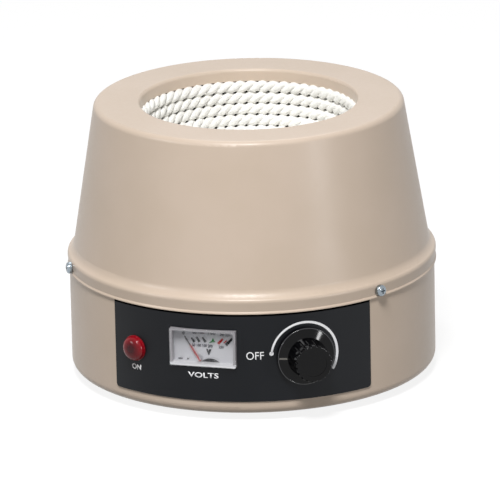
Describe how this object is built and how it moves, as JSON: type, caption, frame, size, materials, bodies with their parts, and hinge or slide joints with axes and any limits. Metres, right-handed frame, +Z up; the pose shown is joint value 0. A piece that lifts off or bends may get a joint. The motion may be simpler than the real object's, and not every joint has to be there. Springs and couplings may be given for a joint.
{
  "type": "heating mantle",
  "caption": "Round laboratory heating mantle: conical cover with a woven heating bowl, base pan with curved panel, voltmeter, pilot lamp and control knob.",
  "frame": {"origin": "on the mantle's axis, in the plane that the feet stand on", "axes": "+Z up along the axis of the flask opening; the middle of the control panel faces -Y; +X to the right seen from the panel"},
  "size_m": [0.1962, 0.2188, 0.1478],
  "materials": {
    "stove_enamel": "semi-gloss baked enamel",
    "black_film": "fine-grained film",
    "bright_nickel": "bright plated",
    "zinc_plate": "zinc plated",
    "glass_fibre_yarn": "woven",
    "sleeved_wire": "braided sleeve over resistance wire",
    "ceramic_fibre": "felted",
    "galvanised_sheet": "galvanised",
    "bare_aluminium": "mill finish",
    "black_rubber": "moulded",
    "phenolic_black": "moulded",
    "turned_brass": "turned",
    "instrument_black": "moulded",
    "red_lens": "translucent red",
    "bulb_glass": "clear",
    "clear_acrylic": "polished clear",
    "dial_enamel": "matt printed",
    "magnet_iron": "dark",
    "coil_copper": "enamelled winding",
    "needle_red": "painted",
    "board_laminate": "glass epoxy",
    "white_nylon": "moulded"
  },
  "bodies": {
    "housing": {"base_pan": "stove_enamel", "upper_cover": "stove_enamel", "control_panel": "black_film", "cover_screws": "bright_nickel", "potentiometer_nut": "bright_nickel", "potentiometer_washer": "bright_nickel", "cover_nuts": "zinc_plate", "pillar_screws": "zinc_plate", "shield_screws": "zinc_plate", "foot_screws": "zinc_plate", "foot_nuts": "zinc_plate", "board_screws": "zinc_plate", "earth_nuts": "zinc_plate", "support_pillars": "zinc_plate", "heating_bowl": "glass_fibre_yarn", "heating_wire": "sleeved_wire", "insulation_bowl": "ceramic_fibre", "insulation_cup": "galvanised_sheet", "heat_shield": "bare_aluminium", "heat_sink": "bare_aluminium", "rubber_feet": "black_rubber", "cable_grommet": "black_rubber", "fuse_holder_body": "phenolic_black", "fuse_nut": "phenolic_black", "earth_stud": "turned_brass", "meter_bearing": "turned_brass", "meter_case": "instrument_black", "lamp_body": "instrument_black", "lamp_nut": "instrument_black", "potentiometer_body": "instrument_black", "capacitor": "instrument_black", "triac": "instrument_black", "lamp_lens": "red_lens", "lamp_bulb": "bulb_glass", "meter_window": "clear_acrylic", "meter_dial": "dial_enamel", "meter_magnet": "magnet_iron", "meter_core": "magnet_iron", "choke": "magnet_iron", "circuit_board": "board_laminate", "board_standoffs": "white_nylon", "terminal_block": "white_nylon"},
    "knob": {"knob_body": "phenolic_black", "knob_insert": "turned_brass", "knob_set_screw": "turned_brass", "knob_cap": "phenolic_black", "potentiometer_shaft": "bright_nickel", "potentiometer_wiper": "instrument_black"},
    "needle": {"meter_needle": "needle_red", "meter_coil": "coil_copper", "meter_pivots": "turned_brass"},
    "fuse_cap": {"fuse_cap": "phenolic_black", "fuse_link": "bulb_glass"}
  },
  "joints": [
    {"name": "knob_turn", "type": "hinge", "parent": "housing", "child": "knob", "pos_m": [0.03486, -0.09373, 0.0353], "axis": [-0.3486, 0.9373, 0], "range_deg": [0, 240]},
    {"name": "needle_swing", "type": "hinge", "parent": "housing", "child": "needle", "pos_m": [-0.0212, -0.09265, 0.0336], "axis": [0.1942, 0.981, 0], "range_deg": [0, 90], "stiffness_Nm_per_rad": 0.0004, "springref_deg": -22.92},
    {"name": "fuse_cap_turn", "type": "hinge", "parent": "housing", "child": "fuse_cap", "pos_m": [0.02588, 0.09659, 0.03], "axis": [0.2588, 0.9659, 0], "range_deg": [0, 90]}
  ]
}
